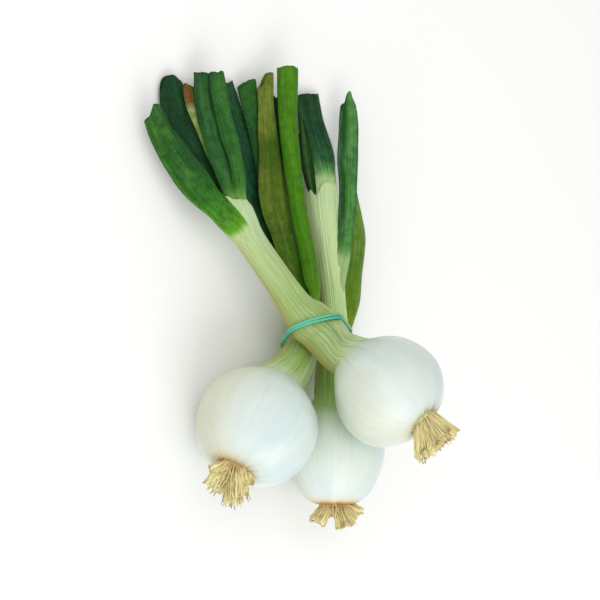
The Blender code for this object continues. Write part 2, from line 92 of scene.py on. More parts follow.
# Leaves: how square and thin the edges are, the crease along the middle, and the cut tip.
EDGE_SQUARENESS = 0.85
EDGE_THINNING = 0.28
WIDTH_CHANGE = 0.05
CREASE_DEPTH = 0.22
CREASE_WIDTH = 0.16
CREASE_DRIFT = 0.25
RIPPLE = 0.3
FRAY = 0.5
TIP_REACH = 9.0

# Roots: how deep a strand starts in its plate, its taper, and the matted body of a lock.
ROOT_START = 1.2
ROOT_TAPER = 0.35
ROOT_FLATNESS = 0.7
PLATE_FILL = 0.85
MAT_LENGTH = 0.93
MAT_DEPTH = 3.6
MAT_FRAY = 1.6
PLATE_RINGS = ((-1.5, 0.9), (0.1, 0.92), (0.6, 0.8), (0.9, 0.5), (1.0, 0.2))

# Band: how far its two strands lie apart, how that changes round the bunch, and how far they stand off.
BAND_APART = 0.45
BAND_CROSSING = 0.35
BAND_LIFT = 0.12
BAND_UPPER_LIFT = 0.25

# Kinds of node, and the numbers of a colour mix's sockets.
RAMP, MIX, MATH = "ShaderNodeValToRGB", "ShaderNodeMix", "ShaderNodeMath"
FACTOR, FIRST, SECOND, RESULT = 0, 6, 7, 2

# Share of a plant's length, 1 at the shoulder and 2 at the neck's end, and how far its fine lines show.
LINED = ((0.0, 0.03), (0.72, 0.05), (0.93, 0.25), (1.08, 0.8), (1.5, 0.55), (2.0, 0.4))

# Lights: name, place, size and power. The camera looks along -CAMERA_BACK at CAMERA_TARGET. Places and sizes
# are in metres, the lens and its sensor in millimetres.
LIGHTS = (("softbox", (-0.12, -0.95, 0.8), 0.9, 5.8), ("fill", (-0.6, 0.6, 1.1), 1.2, 4.2))
ROOM_LIGHT = 0.8
FLOOR_SIZE = 3.0
CAMERA_BACK = Vector((-0.6428, 0.0, 0.7660))
CAMERA_RIGHT = Vector((0.7660, 0.0, 0.6428))
CAMERA_UP = Vector((0.0, 1.0, 0.0))
CAMERA_TARGET = Vector((0.02122, 0.00016, 0.01463))
CAMERA_DISTANCE = 1.1
CAMERA_LENS = 120.0
CAMERA_SENSOR = 36.0

# Places along a bulb, -1 at the root plate and 1 at the shoulder, and the share of its radius there.
BULB_PROFILE = (
    (-1.00, 0.27),
    (-0.965, 0.40),
    (-0.86, 0.59),
    (-0.68, 0.775),
    (-0.42, 0.93),
    (-0.12, 1.0),
    (0.18, 0.985),
    (0.46, 0.885),
    (0.68, 0.73),
    (0.86, 0.56),
    (1.00, 0.44),
)

# "base" is the middle of the root plate, "shoulder" where the neck starts, "heel" the share by which the root
# end is slimmer. Neck rows: X, Y, Z, half width, half thickness. "collar" is the length added to the neck's
# end from its left to its right edge. "tones" are colours along the plant, 0 at the root plate, 1 at the
# shoulder, 2 at the neck's end. "sides" are tints round it, 0 right edge, 0.25 upper face, 0.5 left edge.
PLANTS = {
    "top": {
        "base": (5.3, 21.2, 92.4),
        "shoulder": (-8.5, 54.0, 50.2),
        "radius": 29.6,
        "heel": -0.03,
        "neck": (
            (-11.8, 58.5, 42.5, 11.4, 11.2), (-16.1, 68.4, 33.7, 12.0, 9.8), (-23.4, 75.1, 30.6, 12.2, 8.8),
            (-29.6, 82.1, 28.8, 9.3, 7.8), (-39.5, 95.0, 26.5, 8.0, 7.4), (-50.0, 109.0, 24.0, 7.8, 7.0),
            (-56.5, 119.0, 21.8, 8.0, 6.6), (-60.5, 127.0, 20.6, 8.4, 5.8), (-64.0, 134.5, 20.4, 7.8, 4.6),
            (-67.0, 141.0, 20.4, 6.6, 3.6),
        ),
        "collar": (0.5, 1.0, -1.8, -3.0, -5.0),
        "tones": (
            (0.0, "A8A480"), (0.012, "D6D8CA"), (0.035, "DDE5E1"), (0.84, "DAE3DA"), (0.93, "D8E2C4"),
            (1.02, "B2C484"), (1.2, "9CB464"), (1.45, "A2BA6E"), (1.7, "B4C88A"), (1.9, "BED2A0"),
            (2.0, "B6CC92"),
        ),
        "sides": (
            (0.0, "D8DEEA"), (0.14, "E6EAEA"), (0.27, "FFFFFF"), (0.38, "F8F5E8"), (0.47, "ECE9D2"),
            (0.62, "FFFFFF"),
        ),
    },
    "left": {
        "base": (-78.8, -3.4, 37.0),
        "shoulder": (-37.6, 40.2, 24.6),
        "radius": 32.4,
        "heel": 0.0,
        "neck": (
            (-26.6, 47.8, 21.6, 11.2, 10.8), (-17.6, 55.0, 17.4, 10.3, 9.8), (-9.8, 62.6, 13.5, 9.3, 8.8),
            (-7.0, 72.5, 11.0, 8.6, 8.2), (-6.5, 83.5, 10.2, 7.4, 7.6),
        ),
        "collar": (0.0, 1.0, 0.0, 1.0, 0.0),
        "tones": (
            (0.0, "AC8A5A"), (0.01, "D2C8AE"), (0.03, "DAE0D6"), (0.08, "DDE5E1"), (0.82, "DAE3D8"),
            (0.92, "D8E2C4"), (1.03, "B4CA86"), (1.25, "A0C068"), (1.6, "9ABC60"), (2.0, "8AAC50"),
        ),
        "sides": (
            (0.0, "E2F0FA"), (0.2, "F4FAFF"), (0.33, "FFFFFF"), (0.42, "F8F0DE"), (0.5, "EDE0C2"),
            (0.62, "FFFFFF"),
        ),
    },
    "centre": {
        "base": (-2.4, -27.2, 29.5),
        "shoulder": (3.6, 30.5, 23.5),
        "radius": 27.6,
        "heel": 0.045,
        "neck": (
            (6.0, 36.5, 18.8, 10.6, 10.2), (9.2, 45.0, 14.4, 9.5, 9.2), (12.5, 57.5, 11.6, 8.6, 8.6),
            (14.0, 70.0, 10.4, 7.8, 7.8), (13.5, 84.0, 9.6, 7.2, 7.2), (12.0, 97.0, 9.6, 7.6, 6.8),
            (8.5, 119.0, 9.4, 8.2, 6.4), (6.2, 134.0, 9.2, 8.8, 6.0), (5.0, 148.6, 9.2, 9.2, 5.6),
        ),
        "collar": (4.0, -4.5, 1.5, 2.0, 1.0),
        "tones": (
            (0.0, "8E5220"), (0.012, "C48E50"), (0.034, "DED6BA"), (0.08, "DDE5E1"), (0.64, "DDE8E0"),
            (0.82, "D8E6C8"), (0.92, "B4D08C"), (1.02, "94BC5C"), (1.16, "98BC58"), (1.4, "C2DE86"),
            (1.6, "D0E6A2"), (1.9, "C6DEA6"), (2.0, "BAD698"),
        ),
        "sides": (
            (0.0, "E0F2FA"), (0.12, "ECF6FA"), (0.25, "FFFFFF"), (0.4, "FFFFFF"), (0.5, "F2ECDC"),
            (0.62, "FFFFFF"),
        ),
    },
}

# Leaf rows are as neck rows. "root" is a row inside the sheath that the leaf grows from, "cut" the length
# added to the tip from its left to its right edge, "curl" how far the edges bend down, "facing" the way the
# upper face looks, "sheath" the share of the length that stays pale. "tones" are colours along the leaf from
# its root to its tip. "across" are colours round it from its right edge, painted light and shade: lighter
# where light falls, darker where shade falls; they are laid on by "across_share". "streak" are its
# dark lines and "bloom" its waxy patches.
LEAVES = {
    "leaf_top_outer": {
        "rows": (
            (-58.3, 119.5, 21.7, 7.4, 6.2), (-66.5, 127.5, 20.8, 7.8, 4.6), (-74.5, 133.5, 20.2, 7.0, 3.2),
            (-81.0, 138.5, 19.3, 7.3, 2.6), (-85.8, 143.5, 18.0, 8.2, 2.4), (-91.0, 150.0, 16.5, 9.0, 2.4),
            (-96.0, 156.5, 15.0, 8.4, 2.3), (-102.0, 164.5, 14.0, 7.8, 2.2), (-107.5, 172.0, 13.0, 6.6, 2.1),
            (-112.5, 182.5, 12.5, 6.0, 2.0),
        ),
        "cut": (-2.6, -1.9, -1.2, -0.8, 1.5, 4.0, 3.6, 2.8, -1.5),
        "curl": 0.25,
        "facing": TILT,
        "slot": "leaf_blue_green",
        "root": (-49.5, 108.5, 23.7, 5.6, 4.6),
        "sheath": 0.19,
        "tones": (
            (0.0, "BED298"), (0.19, "BACF92"), (0.205, "A4C670"), (0.23, "68AE16"), (0.35, "509A12"),
            (0.48, "387A18"), (0.62, "245A20"), (1.0, "24561C"),
        ),
        # Painted light and shade round it: dark and bluish on the shaded right side, bright on the lit left
        # edge.
        "across": (
            (0.0, "1A4426"), (0.2, "22542A"), (0.32, "2A6420"), (0.41, "4C8C20"), (0.5, "5E9E26"),
            (0.62, "245A20"),
        ),
        "across_share": 0.4,
        "streak": "153A14",
        "bloom": "5E9038",
    },
    "leaf_top_low": {
        "rows": (
            (-63.5, 127.5, 16.4, 3.7, 2.0), (-70.0, 146.0, 10.6, 7.0, 2.1), (-79.5, 162.0, 6.6, 8.4, 2.1),
            (-88.5, 177.0, 3.6, 9.4, 2.0), (-91.5, 190.0, 2.5, 9.3, 2.0), (-93.5, 199.0, 2.3, 8.1, 2.0),
        ),
        "cut": (-2.0, 3.6, 5.4, 2.6, -1.0),
        "curl": 0.0,
        "facing": FLAT,
        "slot": "leaf_dark_green",
        "root": (-58.0, 117.0, 19.5, 3.0, 2.0),
        "tones": ((0.0, "6F9044"), (0.2, "2C5A1F"), (0.5, "1A4022"), (1.0, "1A4224")),
        "streak": "102C18",
        "bloom": "3E6A3D",
    },
    "leaf_top_dry": {
        "rows": (
            (-58.0, 129.5, 18.2, 1.3, 1.1), (-65.5, 144.5, 15.6, 2.0, 1.0), (-74.0, 161.5, 11.8, 2.0, 1.0),
            (-79.5, 176.5, 8.8, 2.2, 1.0), (-83.5, 189.0, 6.8, 3.3, 1.0), (-84.5, 199.0, 6.0, 3.5, 1.0),
        ),
        "cut": (0.0, 1.5, 0.5, -1.0, 0.0),
        "curl": 0.0,
        "facing": FAN,
        "slot": "leaf_dry",
        "root": (-55.0, 119.0, 19.5, 1.2, 1.0),
        "tones": (
            (0.0, "3A6A25"), (0.3, "3A6A22"), (0.55, "5A9A19"), (0.72, "8DB24E"), (0.84, "A8BE80"),
            (0.9, "7A4A28"), (1.0, "6A3A20"),
        ),
        "streak": "4A5A19",
        "bloom": "8DA05F",
    },
    "leaf_top_middle": {
        "rows": (
            (-67.4, 141.0, 20.2, 3.6, 2.6), (-69.2, 151.0, 18.2, 5.0, 1.9), (-72.2, 161.5, 16.2, 5.5, 2.0),
            (-75.0, 172.0, 14.0, 5.2, 2.0), (-77.0, 182.5, 12.6, 5.7, 2.0), (-79.0, 193.0, 11.4, 5.0, 2.0),
            (-79.0, 205.5, 10.2, 4.5, 2.0),
        ),
        "cut": (0.5, 0.0, 0.6, 0.2, 0.0),
        "curl": 0.1,
        "facing": FAN,
        "slot": "leaf_dark_green",
        "root": (-62.5, 131.0, 21.0, 3.4, 2.6),
        "tones": ((0.0, "9DB980"), (0.12, "6E9A4A"), (0.2, "3A7028"), (0.4, "245628"), (1.0, "225026")),
        # Painted light and shade round it: lighter on the lit upper face, darker towards both shaded edges.
        "across": (
            (0.0, "16381C"), (0.15, "245428"), (0.3, "3A7434"), (0.42, "24561F"), (0.5, "1A421A"),
            (0.62, "225026"),
        ),
        "across_share": 0.4,
        "streak": "143618",
        "bloom": "467640",
    },
    "leaf_top_inner": {
        "rows": (
            (-63.2, 141.5, 22.4, 3.9, 2.6), (-64.4, 151.0, 23.2, 3.8, 1.9), (-65.5, 161.5, 21.6, 4.2, 2.0),
            (-67.5, 172.0, 19.2, 5.0, 2.0), (-70.0, 183.0, 17.6, 5.0, 2.0), (-72.0, 194.0, 16.6, 4.9, 2.0),
            (-73.5, 206.0, 15.8, 4.3, 2.0),
        ),
        "cut": (0.0, 0.5, 0.0, 0.4, 0.0),
        "curl": 0.1,
        "facing": FAN,
        "slot": "leaf_green",
        "root": (-60.5, 131.0, 21.5, 3.6, 2.6),
        "tones": ((0.0, "9DB980"), (0.12, "6E9A4A"), (0.2, "3F7A25"), (0.45, "2C6422"), (1.0, "285C22")),
        # Painted light and shade round it: lighter on the lit upper face, darker towards both shaded edges.
        "across": (
            (0.0, "1E4A1C"), (0.15, "32702A"), (0.3, "3A7A2C"), (0.42, "24561F"), (0.5, "1A421A"),
            (0.62, "285C22"),
        ),
        "across_share": 0.45,
        "streak": "163C15",
        "bloom": "4C7A3B",
    },
    "leaf_left_bright": {
        "rows": (
            (-5.0, 87.5, 16.2, 3.1, 2.0), (-9.5, 97.5, 18.8, 4.8, 2.1), (-12.5, 109.5, 19.0, 4.8, 2.3),
            (-15.5, 120.0, 19.2, 4.8, 2.3), (-19.5, 136.5, 19.0, 4.8, 2.2), (-22.5, 159.5, 18.0, 5.3, 2.1),
            (-24.5, 184.0, 16.8, 5.8, 2.0), (-23.9, 211.5, 15.8, 6.4, 2.0),
        ),
        "cut": (0.0, 1.2, 1.6, 1.2, 0.4),
        "curl": 0.2,
        "facing": FAN,
        "slot": "leaf_bright_green",
        "root": (-5.5, 77.0, 12.5, 3.0, 2.0),
        "tones": ((0.0, "8CB250"), (0.1, "6A9A27"), (0.25, "47820A"), (0.7, "3E7407"), (1.0, "467C0A")),
        # Painted light and shade round it: brightest on the lit upper face, darker towards both shaded edges.
        "across": (
            (0.0, "2E5C0A"), (0.14, "3E740A"), (0.25, "528C10"), (0.38, "427A0A"), (0.5, "2E5C08"),
            (0.62, "3C7007"),
        ),
        "across_share": 0.5,
        "streak": "2C5A07",
        "bloom": "5C8A28",
    },
    "leaf_left_twisted": {
        "rows": (
            (-8.5, 86.5, 12.2, 3.4, 1.9), (-14.5, 101.0, 12.4, 5.9, 2.0), (-21.5, 113.0, 13.0, 6.9, 2.1),
            (-25.0, 123.5, 12.6, 7.7, 2.0), (-29.0, 136.0, 12.2, 9.3, 2.0), (-31.5, 148.0, 11.8, 9.0, 2.0),
            (-32.5, 163.0, 11.2, 7.3, 2.0), (-34.0, 178.0, 10.8, 6.3, 2.0), (-35.0, 192.0, 10.4, 5.1, 2.0),
            (-35.0, 207.0, 10.0, 5.3, 2.0),
        ),
        "cut": (-7.0, -4.5, 1.5, 2.5, 1.8),
        "curl": 0.15,
        "facing": LOW,
        "slot": "leaf_olive",
        "root": (-6.5, 77.0, 11.0, 3.0, 2.0),
        # The dark stop at 0.375 is painted shadow in the fold where the leaf twists; the other stops are its
        # own greens and olives.
        "tones": (
            (0.0, "2F641B"), (0.25, "356E19"), (0.34, "3E6E16"), (0.375, "24440E"), (0.41, "4C7018"),
            (0.58, "566C16"), (0.68, "3A580C"), (0.74, "345410"), (0.78, "6C7A22"), (0.92, "7E8E38"),
            (1.0, "687622"),
        ),
        # Painted light and shade round it: darker on the shaded right side, with a painted highlight line
        # along the lit left edge.
        "across": (
            (0.0, "2E5A12"), (0.15, "3E6A16"), (0.3, "4E6C18"), (0.4, "6A7C22"), (0.46, "8A9C3A"),
            (0.5, "6E8A22"),
        ),
        "across_share": 0.35,
        "streak": "304A0B",
        "bloom": "7C7E36",
    },
    "leaf_left_dark": {
        "rows": (
            (-5.5, 86.0, 8.6, 2.8, 1.8), (-14.5, 106.0, 7.6, 5.8, 2.0), (-22.5, 124.5, 6.8, 5.7, 2.0),
            (-28.5, 141.0, 6.6, 5.7, 2.0), (-33.0, 158.5, 6.4, 6.0, 2.0), (-38.0, 176.0, 6.2, 5.7, 2.0),
            (-43.5, 194.5, 6.0, 5.9, 2.0), (-45.5, 203.5, 6.0, 6.3, 2.0),
        ),
        "cut": (-2.0, -0.8, 0.3, 1.2, 0.8),
        "curl": 0.0,
        "facing": LOW,
        "slot": "leaf_dark_green",
        "root": (-6.0, 77.0, 9.5, 2.8, 1.8),
        "tones": ((0.0, "28541B"), (0.3, "1C461B"), (0.7, "245428"), (1.0, "30661E")),
        "streak": "103011",
        "bloom": "346636",
    },
    "leaf_left_low": {
        "rows": (
            (4.0, 87.0, 4.8, 3.1, 1.7), (-8.5, 97.5, 2.6, 5.2, 1.9), (-21.0, 117.0, 2.1, 5.2, 1.9),
            (-33.0, 137.5, 2.1, 7.4, 1.9), (-40.0, 157.0, 2.1, 9.0, 1.9), (-47.5, 175.0, 2.0, 8.0, 1.9),
            (-54.3, 191.0, 1.9, 7.3, 1.8), (-58.0, 202.5, 1.9, 6.4, 1.8),
        ),
        "cut": (0.0, 0.6, 0.0, -0.6, 0.0),
        "curl": 0.0,
        "facing": FLAT,
        "slot": "leaf_dark_green",
        "root": (-2.0, 79.0, 8.0, 2.6, 1.7),
        "tones": ((0.0, "28541B"), (0.3, "1A441C"), (0.6, "24583A"), (1.0, "22522C")),
        "streak": "0E2811",
        "bloom": "305C35",
    },
    "leaf_left_thin": {
        "rows": (
            (0.5, 87.5, 10.0, 1.0, 0.9), (-9.0, 118.0, 8.0, 1.8, 0.9), (-15.5, 141.0, 7.2, 2.0, 0.9),
            (-20.5, 162.5, 7.0, 2.2, 0.9), (-23.5, 179.0, 7.0, 2.2, 0.9), (-25.5, 196.5, 7.0, 2.2, 0.9),
        ),
        "cut": (0.0, 1.0, 0.0, 0.5, 0.0),
        "curl": 0.0,
        "facing": TILT,
        "slot": "leaf_dark_green",
        "root": (-3.0, 79.0, 10.5, 1.0, 0.9),
        "tones": ((0.0, "28541B"), (0.4, "1A3C17"), (1.0, "1C4419")),
        "streak": "0E2811",
        "bloom": "305C29",
    },
    "leaf_centre_dark": {
        "rows": (
            (8.6, 150.0, 8.6, 7.6, 4.8), (9.2, 157.5, 6.6, 8.4, 3.2), (9.4, 165.5, 4.8, 9.5, 2.0),
            (6.5, 176.0, 3.2, 9.4, 2.0), (3.0, 187.0, 2.5, 8.9, 2.0), (1.0, 200.0, 2.2, 8.5, 2.0),
        ),
        "cut": (0.0, 0.6, 0.6, 0.0, 0.0),
        "curl": 0.0,
        "facing": FLAT,
        "slot": "leaf_dark_green",
        "root": (6.8, 138.0, 9.0, 7.6, 5.0),
        "sheath": 0.22,
        # Past the pale sheath end the blade's very dark green is painted shade of its inner face, over the
        # leaf's own green.
        "tones": (
            (0.0, "CDE4AC"), (0.16, "C2DCA2"), (0.24, "A0C47E"), (0.32, "5E9A4C"), (0.42, "2F6638"),
            (0.65, "1C4828"), (1.0, "183C20"),
        ),
        "streak": "102C17",
        "bloom": "346636",
    },
    "leaf_centre_thin": {
        "rows": (
            (-1.8, 149.0, 8.8, 2.8, 1.3), (-5.8, 161.0, 10.2, 3.8, 1.2), (-7.5, 172.0, 10.0, 3.4, 1.1),
            (-9.5, 185.0, 9.6, 2.1, 1.0),
        ),
        "cut": (-6.0, -2.0, 0.0, 0.0, -3.0),
        "curl": 0.0,
        "facing": TILT,
        "slot": "leaf_dark_green",
        "root": (2.5, 138.0, 8.5, 2.0, 1.3),
        "tones": ((0.0, "5E944A"), (0.16, "1E4616"), (1.0, "143214")),
        # Painted light and shade round it: a dark leaf with thin painted highlight lines at its edges and
        # along its upper face.
        "across": (
            (0.0, "3A6A1C"), (0.08, "14360C"), (0.22, "12300A"), (0.26, "4C7E22"), (0.3, "102C0A"),
            (0.45, "14360C"), (0.5, "4A7A24"),
        ),
        "across_share": 0.8,
        "streak": "0E2811",
        "bloom": "305C2E",
    },
    "leaf_centre_open": {
        "rows": (
            (13.2, 100.5, 11.8, 6.3, 5.4), (14.4, 109.5, 14.4, 5.6, 3.8), (15.4, 118.5, 16.6, 4.4, 2.4),
            (17.5, 133.0, 16.6, 5.0, 1.8), (20.0, 150.0, 14.6, 5.4, 1.8), (21.0, 165.0, 13.0, 6.0, 1.8),
            (23.0, 181.0, 11.6, 5.6, 1.8), (23.5, 198.5, 10.8, 4.6, 1.8),
        ),
        "cut": (-4.3, -3.5, -2.5, -1.5, 3.5, 4.2, 0.8, -1.8, -4.3),
        "curl": -0.35,
        "facing": TILT,
        "slot": "leaf_blue_green",
        "root": (13.0, 88.0, 10.0, 6.0, 5.6),
        "sheath": 0.2,
        "tones": (
            (0.0, "B2C994"), (0.2, "ABC68A"), (0.25, "5E9A40"), (0.38, "31702E"), (0.7, "26602E"),
            (1.0, "245A25"),
        ),
        # Painted light and shade round it: a painted highlight band from 0.14 to 0.21, and painted shade from
        # 0.3 to the left edge over the open inner face.
        "across": (
            (0.0, "1E5030"), (0.06, "2E6C3A"), (0.14, "5C9A4C"), (0.21, "62A04A"), (0.265, "3C7A20"),
            (0.3, "163C08"), (0.5, "1C440A"), (0.62, "1F5222"),
        ),
        "across_share": 0.85,
        "streak": "184622",
        "bloom": "649667",
    },
    "leaf_centre_outer": {
        "rows": (
            (30.0, 73.5, 4.8, 3.5, 2.0), (32.5, 85.0, 4.6, 6.0, 2.0), (34.5, 102.0, 4.0, 6.8, 2.0),
            (37.5, 119.0, 3.2, 6.9, 2.0), (36.5, 131.5, 2.6, 6.0, 2.0), (34.5, 143.0, 2.2, 4.6, 1.9),
            (33.5, 153.5, 1.9, 3.4, 1.8),
        ),
        "cut": (0.0, 1.0, 0.0, -1.0, -2.0),
        "curl": 0.1,
        "facing": FLAT,
        "slot": "leaf_olive",
        "root": (22.0, 62.0, 8.0, 3.0, 2.0),
        "tones": ((0.0, "7A9614"), (0.25, "708E1C"), (0.5, "548021"), (0.75, "6E9033"), (1.0, "5E8425")),
        "streak": "3E6011",
        "bloom": "7C984A",
    },
}

TIE_NORMAL = Vector((-0.08, 0.91, -0.4)).normalized()

# "plate" is the radius of the root plate, "stain" how brown the roots are there, "kink" how far they bend to
# and fro. Locks: direction, start beside the plate's middle, length, half width at the plate, fan, strands.
TUFTS = {
    "top": {
        "plate": 7.6,
        "stain": 0.3,
        "kink": 0.07,
        "locks": (
            ((0.1, -0.98, 0.14), -3.6, 18.0, 3.2, 0.12, 56),
            ((0.3, -0.93, 0.2), -1.0, 17.0, 3.6, 0.14, 46),
            ((0.42, -0.83, 0.37), 1.4, 16.5, 3.4, 0.14, 46),
            ((0.56, -0.68, 0.5), 4.0, 17.5, 3.2, 0.12, 50),
        ),
    },
    "left": {
        "plate": 7.8,
        "stain": 0.7,
        "kink": 0.34,
        "locks": (
            ((-0.7, -0.6, -0.4), -5.6, 9.5, 2.6, 0.2, 34),
            ((-0.5, -0.84, -0.2), -3.6, 15.5, 3.0, 0.12, 44),
            ((-0.1, -1.0, 0.06), 0.0, 18.5, 3.2, 0.1, 48),
            ((0.1, -0.96, 0.2), 2.4, 14.0, 3.0, 0.1, 40),
            ((0.2, -0.8, 0.5), 5.4, 7.5, 2.8, 0.2, 34),
        ),
    },
    "centre": {
        "plate": 7.8,
        "stain": 1.0,
        "kink": 0.17,
        "locks": (
            ((-0.42, -0.84, -0.34), -4.8, 11.5, 2.8, 0.18, 44),
            ((0.0, -0.95, 0.05), -0.6, 7.0, 3.4, 0.15, 34),
            ((0.26, -0.92, 0.24), 2.2, 13.5, 3.4, 0.14, 50),
            ((0.6, -0.62, 0.5), 5.4, 10.0, 2.8, 0.2, 44),
        ),
    },
}


def linear(code):
    """Linear colour of a six-digit sRGB hex code."""
    parts = [int(code[i : i + 2], 16) / 255 for i in (0, 2, 4)]
    return tuple(c / 12.92 if c <= 0.04045 else ((c + 0.055) / 1.055) ** 2.4 for c in parts)


def shade(value):
    """Linear colour with full alpha of a hex code, a grey level or a colour of the panel."""
    if isinstance(value, str):
        return (*linear(value), 1.0)
    return (value, value, value, 1.0) if isinstance(value, float) else (*value, 1.0)


def colour_property(name, description, code):
    return FloatVectorProperty(
        name=name, description=description, default=linear(code), size=3, min=0.0, max=1.0, subtype="COLOR"
    )


def length_property(name, description, millimetres):
    metres = millimetres * MM
    return FloatProperty(
        name=name, description=description, default=metres, min=0.0, subtype="DISTANCE", unit="LENGTH"
    )


class SpringOnionSizes(bpy.types.PropertyGroup):
    rib: length_property("Neck rib height", "How far the lengthwise ribs of the necks stand up", 0.08)
    wall: length_property("Leaf wall", "Thickness of a leaf's wall at its cut end", 0.7)
    hollow: length_property("Hollow depth", "How far a cut leaf is open from its end", 24.0)
    strand: length_property("Root thickness", "Radius of a root strand where it leaves the root plate", 0.5)
    band_width: length_property("Band strand width", "Width of each strand of the rubber band", 1.5)
    band_thickness: length_property("Band thickness", "Thickness of the rubber band", 1.0)
    seed: IntProperty(name="Seed", description="Changes how the root strands fall", default=4, min=0)


class SpringOnionColours(bpy.types.PropertyGroup):
    bulb: colour_property("Bulb tint", "Laid over the tones of the bulbs and necks", "FAFCFA")
    line: colour_property("Neck lines", "Fine lengthwise lines of the necks", "71924A")
    root: colour_property("Roots", "Dried roots", "DACC88")
    root_tip: colour_property("Root tips", "Broken ends of the dried roots", "6E5032")
    band: colour_property("Rubber band", "Natural rubber coloured teal", "5CC4A0")
    floor: colour_property("Floor", "Matt white surface under the bunch", "F4F4F2")


def sizes():
    return bpy.context.scene.spring_onion_sizes


def colours():
    return bpy.context.scene.spring_onion_colours


def curve_value(rows, at):
    """Catmull-Rom value of the rows at a row number that may lie between two rows."""
    i = min(max(int(at), 0), len(rows) - 2)
    t = at - i
    p1, p2 = rows[i], rows[i + 1]
    p0 = rows[i - 1] if i else [2 * a - b for a, b in zip(p1, p2)]
    p3 = rows[i + 2] if i + 2 < len(rows) else [2 * b - a for a, b in zip(p1, p2)]
    return [
        0.5 * (2 * b + (c - a) * t + (2 * a - 5 * b + 4 * c - d) * t * t + (3 * b - a - 3 * c + d) * t**3)
        for a, b, c, d in zip(p0, p1, p2, p3)
    ]


def even_rows(rows, step):
    """Rows of the smooth curve through the rows, about a step apart, each with its length from the start."""
    samples = 40 * len(rows)
    fine = [curve_value(rows, k * (len(rows) - 1) / samples) for k in range(samples + 1)]
    reach = [0.0]
    for a, b in zip(fine, fine[1:]):
        reach.append(reach[-1] + (Vector(b[:3]) - Vector(a[:3])).length)
    count = max(4, round(reach[-1] / step))
    result, i = [], 0
    for k in range(count + 1):
        wanted = reach[-1] * k / count
        while i < samples - 1 and reach[i + 1] < wanted:
            i += 1
        t = (wanted - reach[i]) / max(reach[i + 1] - reach[i], 1e-9)
        result.append([a + (b - a) * min(t, 1.0) for a, b in zip(fine[i], fine[i + 1])] + [wanted])
    return result


def frames(rows, facing):
    """Centre, tangent, side and face direction of each row's section."""
    result = []
    for i, row in enumerate(rows):
        before, after = rows[max(i - 2, 0)], rows[min(i + 2, len(rows) - 1)]
        tangent = (Vector(after[:3]) - Vector(before[:3])).normalized()
        side = tangent.cross(facing).normalized()
        result.append((Vector(row[:3]), tangent, side, side.cross(tangent)))
    return result


def smooth_step(low, high, value):
    t = min(max((value - low) / (high - low), 0.0), 1.0)
    return t * t * (3 - 2 * t)


def wrap_grid(bm, around, rings, place, closed=False):
    """Wraps a grid into a tube: place(ring, angle) gives a point in millimetres, its UV and its grain."""
    uv_layer = bm.loops.layers.uv.get("UVMap") or bm.loops.layers.uv.new("UVMap")
    grain_layer = bm.verts.layers.float_vector.get("grain") or bm.verts.layers.float_vector.new("grain")
    made = bmesh.ops.create_grid(bm, x_segments=around, y_segments=rings - 1, size=1.0)["verts"]
    uvs = {}
    for vert in made:
        k = round((vert.co.x + 1) / 2 * around)
        j = round((vert.co.y + 1) / 2 * (rings - 1))
        ring = 0 if closed and j == rings - 1 else j
        point, along, grain = place(ring, 2 * math.pi * (k % around) / around)
        vert.co = (point - SHIFT) * MM
        vert[grain_layer] = grain
        uvs[vert] = (k / around, along if ring == j else 1.0)
    for face in {f for vert in made for f in vert.link_faces}:
        for loop in face.loops:
            loop[uv_layer].uv = uvs[loop.vert]
    return made


def finish_mesh(name, bm, weld=1e-8):
    """Welds the seams, closes the ends, turns the faces outwards and makes the object at the origin."""
    bmesh.ops.remove_doubles(bm, verts=bm.verts, dist=weld)
    rims = [e for e in bm.edges if e.is_boundary]
    if rims:
        bmesh.ops.holes_fill(bm, edges=rims, sides=0)
    bmesh.ops.recalc_face_normals(bm, faces=bm.faces)
    for face in bm.faces:
        face.smooth = len(face.verts) < 9
    mesh = bpy.data.meshes.new(name)
    bm.to_mesh(mesh)
    bm.free()
    piece = bpy.data.objects.new(name, mesh)
    bpy.context.scene.collection.objects.link(piece)
    return piece


def hand_over(piece, slot, finish, *nodes):
    """Gives a piece its material and says what it rides on and stands for."""
    piece.data.materials.append(finish)
    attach(piece, "root")
    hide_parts(*nodes)


def new_material(name, finish):
    """A material, its node tree and its shader, with the finish set on the shader's own sockets."""
    made = bpy.data.materials.new(name)
    made.use_nodes = True
    shader = made.node_tree.nodes["Principled BSDF"]
    for socket, value in finish.items():
        shader.inputs[socket].default_value = value
    return made, made.node_tree, shader


def add_node(tree, kind, inputs, output=0, stops=(), **settings):
    """Adds a node with its settings, colour stops, values and links, and gives one of its outputs."""
    node = tree.nodes.new(kind)
    for key, value in settings.items():
        setattr(node, key, value)
    for key, value in inputs.items():
        if isinstance(value, bpy.types.NodeSocket):
            tree.links.new(value, node.inputs[key])
        else:
            node.inputs[key].default_value = value
    if stops:
        elements = node.color_ramp.elements
        while len(elements) < len(stops):
            elements.new(1.0)
        for element, (position, value) in zip(elements, stops):
            element.position = position
            element.color = shade(value)
    return node.outputs[output]


def lay_over(tree, body, colour, *masks, blend="MIX"):
    """Lays a colour over the body, as far as all the masks together let it."""
    mask = masks[0]
    for other in masks[1:]:
        mask = add_node(tree, MATH, {0: mask, 1: other}, operation="MULTIPLY")
    inputs = {FACTOR: mask, FIRST: body, SECOND: colour}
    return add_node(tree, MIX, inputs, RESULT, data_type="RGBA", blend_type=blend)


def grain_noise(tree, scale, detail=2.0, distortion=0.0):
    """Noise drawn out along a piece: the grain holds the place round it and the millimetres along it."""
    grain = add_node(tree, "ShaderNodeAttribute", {}, "Vector", attribute_name="grain")
    drawn = add_node(tree, "ShaderNodeMapping", {"Vector": grain, "Scale": scale})
    inputs = {"Vector": drawn, "Scale": 1.0, "Detail": detail, "Distortion": distortion}
    return add_node(tree, "ShaderNodeTexNoise", inputs, "Fac")


